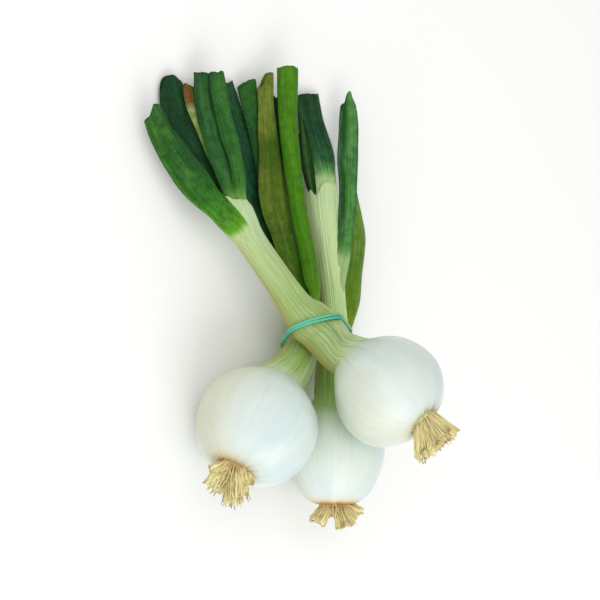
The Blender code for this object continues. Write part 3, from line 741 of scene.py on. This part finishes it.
def surface_noise(tree, scale, detail=3.0):
    """Noise on object coordinates, its scale in patches a metre."""
    place = add_node(tree, "ShaderNodeTexCoord", {}, "Object")
    return add_node(tree, "ShaderNodeTexNoise", {"Vector": place, "Scale": scale, "Detail": detail}, "Fac")


def piece_share(tree, axis):
    """0 to 1 along a piece on axis Y, or round it on X: 0 right edge, 0.25 upper face, 0.5 left edge."""
    uv = add_node(tree, "ShaderNodeUVMap", {}, "UV", uv_map="UVMap")
    return add_node(tree, "ShaderNodeSeparateXYZ", {"Vector": uv}, axis)


def ragged(tree, along, reach):
    """The share along a piece, pushed to and fro in streaks, so that tones meet in fine tongues."""
    streak = grain_noise(tree, (6.0, 6.0, 0.012), detail=3.0)
    centred = add_node(tree, MATH, {0: streak, 1: 0.5}, operation="SUBTRACT")
    push = add_node(tree, MATH, {0: centred, 1: reach}, operation="MULTIPLY")
    return add_node(tree, MATH, {0: along, 1: push}, operation="ADD")


def dress(tree, shader, colour, height, strength, distance):
    """Links a colour and a fine relief, its distance in metres, to the shader."""
    relief = add_node(tree, "ShaderNodeBump", {"Height": height, "Strength": strength, "Distance": distance})
    tree.links.new(relief, shader.inputs["Normal"])
    tree.links.new(colour, shader.inputs["Base Color"])


def onion_skin(name, plant, shoulder):
    """Moist onion scale, thin and slightly translucent: soft gloss, faint veins, green neck sheaths."""
    finish = {
        "Roughness": 0.4,
        "IOR": 1.4,
        "Subsurface Weight": 0.12,
        "Subsurface Radius": (1.0, 1.0, 0.8),
        "Subsurface Scale": 0.004,
        "Coat Weight": 0.3,
        "Coat Roughness": 0.25,
    }
    made, tree, shader = new_material(f"onion_skin_{name}", finish)
    along, around = piece_share(tree, "Y"), piece_share(tree, "X")

    def by_shoulder(stops):
        """Turns places that are 1 at the shoulder and 2 at the neck's end into shares of the length."""
        return [(shoulder * at if at < 1 else shoulder + (1 - shoulder) * (at - 1), v) for at, v in stops]

    reach = add_node(tree, RAMP, {"Fac": along}, stops=((0.1, 0.012), (0.3, 0.05)))
    body = add_node(tree, RAMP, {"Fac": ragged(tree, along, reach)}, stops=by_shoulder(plant["tones"]))
    tints = add_node(tree, RAMP, {"Fac": around}, stops=plant["sides"])
    bulb = add_node(tree, RAMP, {"Fac": along}, stops=((shoulder * 0.75, 0.6), (shoulder, 0.2)))
    body = lay_over(tree, body, tints, bulb, blend="MULTIPLY")
    green = add_node(tree, RAMP, {"Fac": along}, stops=by_shoulder(LINED))
    fine = grain_noise(tree, (21.0, 21.0, 0.018), detail=3.0, distortion=0.15)
    lines = add_node(tree, RAMP, {"Fac": fine}, stops=((0.40, 1.0), (0.50, 0.0)))
    body = lay_over(tree, body, shade(colours().line), lines, green)
    streaks = grain_noise(tree, (11.0, 11.0, 0.05), detail=3.0)
    pale = add_node(tree, RAMP, {"Fac": streaks}, stops=((0.5, 0.0), (0.7, 0.5)))
    body = lay_over(tree, body, shade("E0EACC"), pale, green)
    # A yellow-brown tint along the left edge of the necks.
    left_edge_tint = add_node(tree, RAMP, {"Fac": around}, stops=((0.36, 0.0), (0.46, 0.8), (0.54, 1.0), (0.62, 0.0)))
    body = lay_over(tree, body, shade("B49A4A"), left_edge_tint, green)
    patches = grain_noise(tree, (1.6, 1.6, 0.03), detail=3.0)
    tones = ((0.32, "DEECF0"), (0.5, colours().bulb), (0.68, "F2EDDC"))
    body = lay_over(tree, body, add_node(tree, RAMP, {"Fac": patches}, stops=tones), 0.4, blend="MULTIPLY")
    dress(tree, shader, body, fine, 0.12, 0.0003)
    return made


def leaf_skin(name, leaf):
    """Waxy leaf tube: satin, striped along its length, with paler bloom in patches and a pale sheath end.
    Leaves with "across" colours get painted light and shade round them.
    """
    finish = {"IOR": 1.4, "Specular IOR Level": 0.1 if leaf["slot"] == "leaf_dry" else 0.15}
    made, tree, shader = new_material(f"waxy_{name}", finish)
    along = piece_share(tree, "Y")
    sheath = leaf.get("sheath", 0.1)
    blade = add_node(tree, RAMP, {"Fac": along}, stops=((sheath, 0.15), (sheath + 0.12, 1.0)))
    body = add_node(tree, RAMP, {"Fac": ragged(tree, along, 0.04)}, stops=leaf["tones"])
    # Painted light and shade: the "across" colours, laid over the blade, make a leaf lighter where light
    # falls and darker where shade falls.
    if "across" in leaf:
        sides = add_node(tree, RAMP, {"Fac": piece_share(tree, "X")}, stops=leaf["across"])
        body = lay_over(tree, body, sides, blade, leaf["across_share"])
    fine = grain_noise(tree, (9.0, 9.0, 0.03), detail=4.0, distortion=0.3)
    wax = grain_noise(tree, (1.8, 1.8, 0.045), detail=4.0)
    stripes = add_node(tree, RAMP, {"Fac": fine}, stops=((0.36, 0.6), (0.56, 0.0)))
    bloom = add_node(tree, RAMP, {"Fac": wax}, stops=((0.5, 0.0), (0.78, 0.6)))
    mottle = add_node(tree, RAMP, {"Fac": surface_noise(tree, 260.0, 5.0)}, stops=((0.34, 0.5), (0.56, 0.0)))
    specks = add_node(tree, RAMP, {"Fac": surface_noise(tree, 1100.0, 2.0)}, stops=((0.62, 0.0), (0.72, 0.5)))
    for mask, mark in ((stripes, "streak"), (bloom, "bloom"), (mottle, "streak"), (specks, "bloom")):
        body = lay_over(tree, body, shade(leaf[mark]), mask, blade)
    rough = add_node(tree, RAMP, {"Fac": bloom}, stops=((0.0, 0.4), (0.6, 0.6)))
    tree.links.new(rough, shader.inputs["Roughness"])
    dress(tree, shader, body, fine, 0.3, 0.0005)
    return made


def dried_root(name, stain):
    """Dried fibrous root: matt straw with fine creases, browner at the plate and at its broken ends."""
    made, tree, shader = new_material(f"dried_root_{name}", {"Roughness": 0.85})
    along = piece_share(tree, "Y")
    tones = ((0.3, "A28C4E"), (0.48, colours().root), (0.7, "F2EAC2"))
    body = add_node(tree, RAMP, {"Fac": grain_noise(tree, (1.3, 1.3, 0.1), detail=4.0)}, stops=tones)
    fade = ((0.0, 0.95 * stain), (0.25, 0.55 * stain), (0.6, 0.0))
    plate = add_node(tree, RAMP, {"Fac": along}, stops=fade)
    spots = add_node(tree, RAMP, {"Fac": surface_noise(tree, 380.0)}, stops=((0.32, 0.3), (0.6, 1.0)))
    body = lay_over(tree, body, shade("96602C"), plate, spots)
    ends = add_node(tree, RAMP, {"Fac": along}, stops=((0.72, 0.0), (1.0, 1.0)))
    patches = add_node(tree, RAMP, {"Fac": surface_noise(tree, 220.0)}, stops=((0.48, 0.0), (0.62, 0.9)))
    body = lay_over(tree, body, shade(colours().root_tip), ends, patches)
    dress(tree, shader, body, grain_noise(tree, (4.0, 4.0, 0.2)), 0.5, 0.0005)
    return made


def band_rubber():
    """Natural rubber, coloured through: soft satin with a chalky bloom, and painted shade darkening it along
    one edge.
    """
    made, tree, shader = new_material("natural_rubber_teal", {"Roughness": 0.5, "IOR": 1.52})
    tones = ((0.35, "46B08C"), (0.6, colours().band), (0.8, "8AD6BA"))
    body = add_node(tree, RAMP, {"Fac": grain_noise(tree, (1.5, 1.5, 0.1))}, stops=tones)
    # Painted shade: a dark teal strip along one edge of the band, where shade falls under it.
    side = ((0.36, 0.0), (0.44, 0.9), (0.56, 0.9), (0.64, 0.0))
    edge = add_node(tree, RAMP, {"Fac": piece_share(tree, "X")}, stops=side)
    body = lay_over(tree, body, shade("0E7458"), edge)
    dress(tree, shader, body, surface_noise(tree, 1500.0), 0.1, 0.0002)
    return made


def plant_rows(plant):
    """Rows of a whole plant from the root plate to the end of its neck."""
    base, shoulder = Vector(plant["base"]), Vector(plant["shoulder"])
    rows = []
    for along, share in BULB_PROFILE:
        centre = base.lerp(shoulder, (along + 1) / 2)
        slim = 1 - plant["heel"] * math.sin(math.pi * max(0.0, -along))
        radius = plant["radius"] * share * slim
        rows.append((*centre, radius, radius))
    return rows + list(plant["neck"])


def plant_skin(name, plant):
    """One skin from the root plate over the bulb and up the neck, then down inside the open collar."""
    rib = sizes().rib / MM
    rows = even_rows(plant_rows(plant), PLANT_STEP)
    run = frames(rows, TILT)
    bulb_length = (Vector(plant["shoulder"]) - Vector(plant["base"])).length
    length = rows[-1][5]
    shift = PLANT_SHIFTS[name]
    stations = list(range(len(rows))) + [len(rows) - 1 - k for k in range(COLLAR_RINGS)]

    def place(ring, angle):
        j = stations[ring]
        inner = ring >= len(rows)
        centre, tangent, side, face = run[j]
        along = rows[j][5]
        neckness = smooth_step(bulb_length * 0.78, bulb_length * 1.15, along)
        ribs = math.sin(RIB_COUNTS[0] * angle + shift + 0.6 * math.sin(along / RIB_WAVE))
        ribs += 0.6 * math.sin(RIB_COUNTS[1] * angle + 2 * shift)
        lump = noise.noise(Vector((2 * math.cos(angle) + shift, 2 * math.sin(angle), along / LUMP_LENGTH)))
        swell = rib * neckness * ribs + (BULB_LUMP * (1 - neckness) + SKIN_LUMP) * lump
        swell -= COLLAR_WALL if inner else 0.0
        u, v = math.cos(angle), math.sin(angle)
        point = centre + side * (rows[j][3] + swell) * u + face * (rows[j][4] + swell) * v
        end = smooth_step(length - COLLAR_REACH, length, along)
        point += tangent * end * curve_value([(c,) for c in plant["collar"]], (u + 1) / 2 * 4)[0]
        point.z = max(point.z, 0.0)
        depth = (length - along) if inner else 0.0
        return point, (along + 2 * depth) / length, Vector((u + shift, v, along + 2 * depth))

    bm = bmesh.new()
    wrap_grid(bm, PLANT_AROUND, len(stations), place)
    piece = finish_mesh(f"plant_{name}", bm)
    skin = onion_skin(name, plant, bulb_length / length)
    hand_over(piece, "bulb_white", skin, f"bulb_{name}", f"neck_{name}")


def leaf_tube(name, leaf, number):
    """A leaf from inside its sheath to its cut tip, with the wall turned in at the tip."""
    wall = sizes().wall / MM
    rows = even_rows((leaf["root"], *leaf["rows"]), LEAF_STEP)
    run = frames(rows, leaf["facing"])
    length = rows[-1][5]
    thick = min(r[4] for r in rows[-6:]) > wall * 1.6
    wall = wall if thick else wall * 0.5
    inside = max(2, round(sizes().hollow / MM / LEAF_STEP)) if thick else 2
    stations = list(range(len(rows))) + [len(rows) - 1 - k for k in range(inside)]
    shift = number * 3.7

    def place(ring, angle):
        j = stations[ring]
        inner = ring >= len(rows)
        centre, tangent, side, face = run[j]
        along = rows[j][5]
        wide = rows[j][3] * (1 + WIDTH_CHANGE * noise.noise(Vector((along / 14, shift, 0))))
        deep = rows[j][4]
        u, v = math.cos(angle), math.sin(angle)
        spread = math.copysign(abs(u) ** EDGE_SQUARENESS, u)
        press = 1 - EDGE_THINNING * abs(u) ** 3
        off_crease = (u - CREASE_DRIFT * math.sin(along / 40 + shift)) / CREASE_WIDTH
        crease = CREASE_DEPTH * deep * math.exp(-(off_crease**2)) * math.copysign(1, v)
        ripple = RIPPLE * noise.noise(Vector((along / 9, 1.5 * u, shift)))
        bend = -leaf["curl"] * wide * u * u
        taper = wall if inner else 0.0
        across = (wide - taper) * spread
        height = (deep - taper) * v * press - crease * abs(v) * 0.8 + bend + ripple * min(1.0, deep / 2)
        point = centre + side * across + face * height
        end = smooth_step(length - TIP_REACH, length, along)
        fray = FRAY * noise.noise(Vector((4 * u, 4 * v, shift)))
        cut = curve_value([(c,) for c in leaf["cut"]], (u + 1) / 2 * (len(leaf["cut"]) - 1))[0]
        point += tangent * end * (cut + fray)
        point.z = max(point.z, GROUND_CLEARANCE)
        depth = (length - along) if inner else 0.0
        return point, (along + 2 * depth) / length, Vector((u + shift, v, along + 2 * depth))

    bm = bmesh.new()
    wrap_grid(bm, LEAF_AROUND, len(stations), place)
    piece = finish_mesh(name.replace("leaf_", "blade_"), bm)
    hand_over(piece, leaf["slot"], leaf_skin(name, leaf), name)


def lock_path(base_frame, tuft, lock, beside, above, length, rng):
    """Points of a root of a lock: out of the plate, round to the lock's direction, fanned to its place."""
    centre, tangent, side, face = base_frame
    aim, start, reach, half, fan, count = lock
    toward = Vector(aim).normalized()
    across = TILT.cross(toward).normalized()
    over = toward.cross(across)
    plate_across = (across - tangent * across.dot(tangent)).normalized()
    plate_over = plate_across.cross(tangent).normalized()
    if plate_over.dot(over) < 0:
        plate_over.negate()
    aside = start + beside * half
    rim = math.sqrt(max(4.0, tuft["plate"] ** 2 - aside * aside)) * PLATE_FILL
    point = centre + plate_across * aside + plate_over * above * rim
    target = (toward + across * beside * fan - over * above * 0.1).normalized()
    direction = (-tangent * 0.8 + target * 0.5).normalized()
    points = [point - direction * ROOT_START]
    for k in range(ROOT_STEPS):
        t = (k + 1) / ROOT_STEPS
        kink = Vector((rng.uniform(-1, 1), rng.uniform(-1, 1), rng.uniform(-1, 1))) * tuft["kink"]
        direction = (direction.lerp(target, min(1.0, 0.3 + t)) + kink).normalized()
        points.append(points[-1] + direction * (length + ROOT_START) / ROOT_STEPS)
    return points


def root_strand(bm, points, radius, rng):
    """One flattened, tapering root strand along its points."""
    last = len(points) - 1
    run = frames([tuple(p) for p in points], TILT)
    tag = rng.uniform(0, 60)
    turn = rng.uniform(0, math.pi)

    def place(ring, angle):
        centre, tangent, side, face = run[ring]
        u, v = math.cos(angle + turn), math.sin(angle + turn)
        wide = radius * (1 - ROOT_TAPER * ring / last)
        deep = radius * (ROOT_FLATNESS - 0.3 * ring / last)
        point = centre + side * wide * u + face * deep * v
        point.z = max(point.z, GROUND_CLEARANCE)
        return point, ring / last, Vector((u + tag, v, 2.5 * ring))

    wrap_grid(bm, ROOT_AROUND, last + 1, place)


def root_mat(bm, base_frame, tuft, lock, rng):
    """The matted body of a lock, a flat fan with its roots showing as ridges and a ragged end."""
    aim, start, reach, half, fan, count = lock
    points = lock_path(base_frame, tuft, lock, 0.0, 0.0, reach * MAT_LENGTH, rng)
    last = len(points) - 1
    run = frames([tuple(p) for p in points], TILT)
    tag = rng.uniform(0, 60)

    def place(ring, angle):
        centre, tangent, side, face = run[ring]
        t = ring / last
        ridge = 0.35 * math.sin(9 * angle + tag) + 0.25 * math.sin(16 * angle + 2.1 * tag + 2 * t)
        wide = half + reach * t * fan + ridge
        deep = (1 - t) * MAT_DEPTH + 1.0 + ridge
        u, v = math.cos(angle), math.sin(angle)
        fray = MAT_FRAY * smooth_step(0.7, 1.0, t) * noise.noise(Vector((5 * u, 3 * v, tag)))
        point = centre + side * wide * u + face * deep * v + tangent * fray
        point.z = max(point.z, GROUND_CLEARANCE)
        return point, 0.15 + 0.7 * t, Vector((3 * u + tag, 3 * v, 2.5 * ring))

    wrap_grid(bm, MAT_AROUND, last + 1, place)


def root_tuft(name, tuft, base_frame, rng):
    """A tuft of dried roots: matted locks with loose strands on them, fanning out of a rough root plate."""
    centre, tangent, side, face = base_frame
    bm = bmesh.new()
    for lock in tuft["locks"]:
        root_mat(bm, base_frame, tuft, lock, rng)
        aim, start, reach, half, fan, count = lock
        for k in range(count):
            angle, out = SPIRAL_TURN * k, math.sqrt((k + 0.5) / count)
            beside, above = out * math.cos(angle), out * math.sin(angle)
            points = lock_path(base_frame, tuft, lock, beside, above, reach * rng.uniform(0.78, 1.0), rng)
            root_strand(bm, points, sizes().strand / MM * rng.uniform(0.6, 1.2), rng)

    def plate(ring, angle):
        depth, wide = PLATE_RINGS[ring]
        rough = 0.5 * noise.noise(Vector((3 * math.cos(angle), 3 * math.sin(angle), ring + len(name))))
        reach = tuft["plate"] * wide + rough
        point = centre - tangent * depth + side * reach * math.cos(angle) + face * reach * math.sin(angle)
        return point, 0.0, Vector((3 * math.cos(angle), 3 * math.sin(angle), 2.0 * ring))

    wrap_grid(bm, PLATE_AROUND, len(PLATE_RINGS), plate)
    return finish_mesh(f"tuft_{name}", bm)


def band_line():
    """Inner line of the band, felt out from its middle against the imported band."""
    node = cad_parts["tie_band"]
    corners = [v.co for v in node.data.vertices]
    tree = BVHTree.FromPolygons(corners, [tuple(p.vertices) for p in node.data.polygons])
    middle = sum(corners, Vector()) / len(corners)
    across = TIE_NORMAL.cross(FLAT).normalized()
    up = across.cross(TIE_NORMAL).normalized()
    line = []
    for k in range(BAND_STEPS):
        angle = 2 * math.pi * k / BAND_STEPS
        out = across * math.cos(angle) + up * math.sin(angle)
        hit = tree.ray_cast(middle, out)[0]
        if hit is None:
            raise RuntimeError("the packed band doesn't close round its middle")
        line.append(hit / MM + SHIFT)
    return line


def band_strand(bm, line, turn, lift):
    """One strand of the band, to one side along the bunch (turn -1 or 1) and lifted off the necks."""
    wide, thick = sizes().band_width / MM / 2, sizes().band_thickness / MM / 2
    count = len(line)
    middle = sum(line, Vector()) / count

    def place(ring, angle):
        point = line[ring % count]
        tangent = (line[(ring + 1) % count] - line[ring % count - 1]).normalized()
        outward = tangent.cross(TIE_NORMAL).normalized()
        if outward.dot(point - middle) < 0:
            outward.negate()
        share = ring / count
        u, v = math.cos(angle), math.sin(angle)
        flat_u, flat_v = (math.copysign(abs(c) ** 0.6, c) for c in (u, v))
        offset = turn * (BAND_APART + BAND_CROSSING * math.sin(2 * math.pi * share))
        centre = point + TIE_NORMAL * offset + outward * (thick + lift)
        skin = centre + TIE_NORMAL * wide * flat_u + outward * thick * flat_v
        return skin, share, Vector((u, v, 90 * share))

    wrap_grid(bm, BAND_AROUND, count + 1, place, closed=True)


class ONION_OT_plants(bpy.types.Operator):
    """Make the bulbs with their necks"""

    bl_idname = "onion.plants"
    bl_label = "Bulbs and necks"

    def execute(self, context):
        for name, plant in PLANTS.items():
            plant_skin(name, plant)
        return {"FINISHED"}


class ONION_OT_leaves(bpy.types.Operator):
    """Make the cut leaves"""

    bl_idname = "onion.leaves"
    bl_label = "Leaves"

    def execute(self, context):
        for number, (name, leaf) in enumerate(LEAVES.items()):
            leaf_tube(name, leaf, number)
        return {"FINISHED"}


class ONION_OT_roots(bpy.types.Operator):
    """Make the root tufts"""

    bl_idname = "onion.roots"
    bl_label = "Root tufts"

    def execute(self, context):
        rng = random.Random(sizes().seed)
        for name, tuft in TUFTS.items():
            rows = even_rows(plant_rows(PLANTS[name]), PLANT_STEP)
            piece = root_tuft(name, tuft, frames(rows, TILT)[0], rng)
            hand_over(piece, "roots_straw", dried_root(name, tuft["stain"]), f"roots_{name}")
        return {"FINISHED"}


class ONION_OT_band(bpy.types.Operator):
    """Make the rubber band"""

    bl_idname = "onion.band"
    bl_label = "Rubber band"

    def execute(self, context):
        line = band_line()
        bm = bmesh.new()
        for turn, lift in ((-1, BAND_LIFT), (1, BAND_LIFT + BAND_UPPER_LIFT)):
            band_strand(bm, line, turn, lift)
        piece = finish_mesh("rubber_band", bm)
        hand_over(piece, "band_teal", band_rubber(), "tie_band")
        return {"FINISHED"}


class ONION_OT_stage(bpy.types.Operator):
    """Set the floor, lights and camera"""

    bl_idname = "onion.stage"
    bl_label = "Stage"

    def execute(self, context):
        scene = context.scene
        bm = bmesh.new()
        bmesh.ops.create_grid(bm, x_segments=1, y_segments=1, size=FLOOR_SIZE)
        mesh = bpy.data.meshes.new("floor")
        bm.to_mesh(mesh)
        bm.free()
        floor = bpy.data.objects.new("floor", mesh)
        scene.collection.objects.link(floor)
        # Matt lacquered board: even and almost free of gloss.
        finish = {"Base Color": shade(colours().floor), "Roughness": 0.9}
        mesh.materials.append(new_material("matt_white_board", finish)[0])
        world = bpy.data.worlds.new("soft_room")
        world.use_nodes = True
        world.node_tree.nodes["Background"].inputs["Color"].default_value = (1.0, 1.0, 1.0, 1.0)
        world.node_tree.nodes["Background"].inputs["Strength"].default_value = ROOM_LIGHT
        scene.world = world
        for name, place, size, power in LIGHTS:
            lamp = bpy.data.lights.new(name, "AREA")
            lamp.size, lamp.energy = size, power
            light = bpy.data.objects.new(name, lamp)
            light.location = place
            light.rotation_euler = (-Vector(place)).to_track_quat("-Z", "Y").to_euler()
            scene.collection.objects.link(light)
        lens = bpy.data.cameras.new("camera")
        lens.lens, lens.sensor_width, lens.clip_end = CAMERA_LENS, CAMERA_SENSOR, 20.0
        camera = bpy.data.objects.new("camera", lens)
        turn = Matrix((CAMERA_RIGHT, CAMERA_UP, CAMERA_BACK)).transposed().to_4x4()
        turn.translation = CAMERA_TARGET + CAMERA_BACK * CAMERA_DISTANCE
        camera.matrix_world = turn
        scene.collection.objects.link(camera)
        scene.camera = camera
        scene.view_settings.view_transform = "Standard"
        return {"FINISHED"}


class ONION_PT_panel(bpy.types.Panel):
    """Lists the operators in the order in which they run"""

    bl_label = "Spring onions"
    bl_space_type = "VIEW_3D"
    bl_region_type = "UI"
    bl_category = "Spring onions"

    def draw(self, context):
        for group in (context.scene.spring_onion_sizes, context.scene.spring_onion_colours):
            for name in group.__annotations__:
                self.layout.prop(group, name)
        for operator in OPERATORS:
            self.layout.operator(operator.bl_idname)


OPERATORS = (ONION_OT_plants, ONION_OT_leaves, ONION_OT_roots, ONION_OT_band, ONION_OT_stage)
CLASSES = (SpringOnionSizes, SpringOnionColours, *OPERATORS, ONION_PT_panel)


def register():
    for cls in CLASSES:
        bpy.utils.register_class(cls)
    bpy.types.Scene.spring_onion_sizes = PointerProperty(type=SpringOnionSizes)
    bpy.types.Scene.spring_onion_colours = PointerProperty(type=SpringOnionColours)


def unregister():
    del bpy.types.Scene.spring_onion_colours
    del bpy.types.Scene.spring_onion_sizes
    for cls in reversed(CLASSES):
        bpy.utils.unregister_class(cls)


def main():
    register()
    bpy.ops.onion.plants()
    bpy.ops.onion.leaves()
    bpy.ops.onion.roots()
    bpy.ops.onion.band()
    bpy.ops.onion.stage()


if __name__ == "__main__":
    main()
